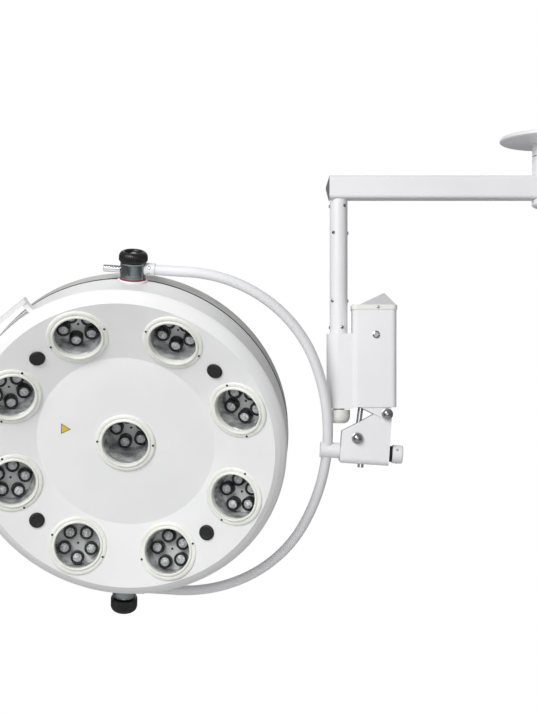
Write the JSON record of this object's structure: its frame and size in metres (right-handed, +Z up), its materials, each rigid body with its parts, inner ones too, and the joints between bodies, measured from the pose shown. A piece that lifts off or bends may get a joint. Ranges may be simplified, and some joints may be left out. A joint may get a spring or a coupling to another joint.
{
  "type": "surgical light",
  "caption": "Ceiling-hung surgical light: square swinging arm, drop tube, spring-balanced box, C-shaped yoke and a round dished head of LED lamps.",
  "frame": {"origin": "centre of the ceiling plate's upper face, which meets the ceiling", "axes": "+Z up into the ceiling, the swinging arm runs to -X, the lamp face looks to -Y and a little down"},
  "size_m": [1.3851, 0.4031, 1.0639],
  "materials": {
    "white_paint": "satin powder coat",
    "bright_steel": "turned",
    "bronze": "oiled bronze",
    "dark_plastic": "moulded",
    "cream_plastic": "smooth moulded",
    "chrome_plate": "polished",
    "cream_paint": "satin powder coat",
    "grey_paint": "satin powder coat",
    "spring_steel": "turned",
    "black_rubber": "matte",
    "black_steel": "turned",
    "black_plastic": "moulded",
    "head_white": "satin powder coat",
    "head_grey": "satin powder coat",
    "red_ring": "smooth moulded",
    "clear_glass": "clear",
    "mirror_bowl": "polished",
    "satin_aluminium": "satin",
    "clear_lens": "clear"
  },
  "bodies": {
    "ceiling_mount": {"ceiling_plate": "white_paint", "post_spindle": "bright_steel", "spindle_nut": "bright_steel"},
    "arm": {"arm_hub": "white_paint", "hub_cover": "white_paint", "hub_bushes": "bronze", "arm_tube": "white_paint", "arm_end_cap": "dark_plastic", "drop_tube": "white_paint", "swivel_shaft": "bright_steel", "swivel_nut": "bright_steel", "swivel_cap": "cream_plastic", "drop_tube_screws": "chrome_plate"},
    "balancer": {"balancer_box": "white_paint", "box_lid": "cream_paint", "lid_hip": "grey_paint", "swivel_sleeve": "white_paint", "sleeve_bushes": "bronze", "hinge_bracket": "white_paint", "hinge_pin": "bright_steel", "hinge_nuts": "chrome_plate", "box_screws": "chrome_plate", "spring_base": "bright_steel", "balance_spring": "spring_steel"},
    "spring_carrier": {"spring_seat": "bright_steel", "seat_pin": "bright_steel"},
    "rod": {"balance_rod": "chrome_plate"},
    "block": {"tilt_block": "white_paint", "rod_pin": "bright_steel", "rod_pin_nuts": "chrome_plate", "roll_bearing": "bright_steel", "roll_bushes": "bronze", "friction_screw": "chrome_plate"},
    "yoke": {"yoke_tube": "white_paint", "tee_collar": "white_paint", "roll_shaft": "bright_steel", "end_washer": "black_rubber", "end_collar": "white_paint", "pivot_barrels": "chrome_plate", "leg_collars": "white_paint", "collar_screws": "black_steel", "stop_pin": "chrome_plate", "knob_bolts": "chrome_plate"},
    "upper_knob": {"upper_knob": "black_plastic"},
    "lower_knob": {"lower_knob": "black_plastic"},
    "head": {"front_shell": "head_white", "rear_shell": "head_grey", "rim_gasket": "black_rubber", "head_frame": "bright_steel", "seat_rings": "red_ring", "lamp_rings": "cream_plastic", "lamp_glasses": "clear_glass", "lamp_reflectors": "mirror_bowl", "led_plates": "satin_aluminium", "led_holders": "black_plastic", "led_lenses": "clear_lens", "lamp_screws": "black_steel", "rubber_plugs": "black_rubber", "grip_handle": "white_paint", "driver_case": "satin_aluminium"}
  },
  "joints": [
    {"name": "arm_swing", "type": "hinge", "parent": "ceiling_mount", "child": "arm", "pos_m": [0, 0, -0.1], "axis": [0, 0, 1], "range_deg": [-170, 170]},
    {"name": "balancer_swivel", "type": "hinge", "parent": "arm", "child": "balancer", "pos_m": [-0.463, 0, -0.5], "axis": [0, 0, 1], "range_deg": [-165, 165]},
    {"name": "block_tilt", "type": "hinge", "parent": "balancer", "child": "block", "pos_m": [-0.3585, 0, -0.606], "axis": [0, 1, 0], "range_deg": [-22, 0]},
    {"name": "spring_slide", "type": "slide", "parent": "balancer", "child": "spring_carrier", "axis": [0.0806, 0, 0.9967], "range_m": [-0.022, 0.001], "deforming": ["balance_spring"]},
    {"name": "rod_swing", "type": "hinge", "parent": "spring_carrier", "child": "rod", "pos_m": [-0.39, 0, -0.404], "axis": [0, 1, 0], "range_deg": [-8, 1]},
    {"name": "yoke_roll", "type": "hinge", "parent": "block", "child": "yoke", "pos_m": [-0.48833, 0, -0.68439], "axis": [0.9979, 0, -0.0645], "range_deg": [0, 139]},
    {"name": "head_turn", "type": "hinge", "parent": "yoke", "child": "head", "pos_m": [-0.92406, -0.0021, -0.65058], "axis": [0.0604, -0.3502, 0.9347], "range_deg": [-170, 170]},
    {"name": "upper_knob_turn", "type": "hinge", "parent": "yoke", "child": "upper_knob", "pos_m": [-0.92406, -0.0021, -0.65058], "axis": [0.0604, -0.3502, 0.9347], "range_deg": [-90, 90]},
    {"name": "lower_knob_turn", "type": "hinge", "parent": "yoke", "child": "lower_knob", "pos_m": [-0.92406, -0.0021, -0.65058], "axis": [-0.0604, 0.3502, -0.9347], "range_deg": [-90, 90]}
  ],
  "couplings": [
    {"joint": "spring_slide", "follows": "block_tilt", "m_per_rad": 0.05028},
    {"joint": "rod_swing", "follows": "block_tilt", "ratio": 0.2558}
  ]
}
